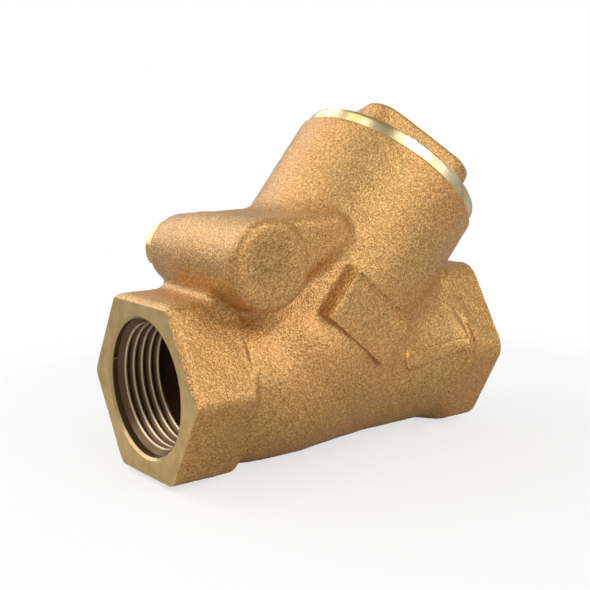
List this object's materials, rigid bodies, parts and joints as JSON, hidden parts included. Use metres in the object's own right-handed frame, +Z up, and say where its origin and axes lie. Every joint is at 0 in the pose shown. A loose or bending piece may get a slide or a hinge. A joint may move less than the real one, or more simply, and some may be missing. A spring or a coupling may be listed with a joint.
{
  "type": "swing check valve",
  "caption": "Threaded inclined-seat swing check valve in cast bronze, with hexagonal ends, a screwed cap with a square head, and a disc that swings on a pin.",
  "frame": {"origin": "centre of the inlet face, on the flow axis", "axes": "+X along the flow from inlet to outlet, +Z up toward the cap's side, +Y across toward the plug's end of the hinge boss"},
  "size_m": [0.0927, 0.0511, 0.0851],
  "materials": {
    "cast_bronze": "rough sand-cast bronze",
    "turned_bronze": "machined bronze",
    "soft_seat": "white fluoropolymer"
  },
  "bodies": {
    "body": {"valve_body": "cast_bronze", "cap": "cast_bronze", "hinge_pin": "turned_bronze", "hinge_pin_plug": "turned_bronze"},
    "hanger": {"disc_hanger": "cast_bronze"},
    "disc": {"disc_holder": "turned_bronze", "seat_disc": "soft_seat", "seat_disc_nut": "turned_bronze", "hanger_washer": "turned_bronze", "hanger_nut": "turned_bronze"}
  },
  "joints": [
    {"name": "hanger_swing", "type": "hinge", "parent": "body", "child": "hanger", "pos_m": [0.02, 0, 0.0289], "axis": [0, -1, 0], "range_deg": [0, 45]},
    {"name": "disc_spin", "type": "hinge", "parent": "hanger", "child": "disc", "pos_m": [0.0344, 0, 0], "axis": [0.6561, 0, 0.7547], "continuous": true}
  ]
}
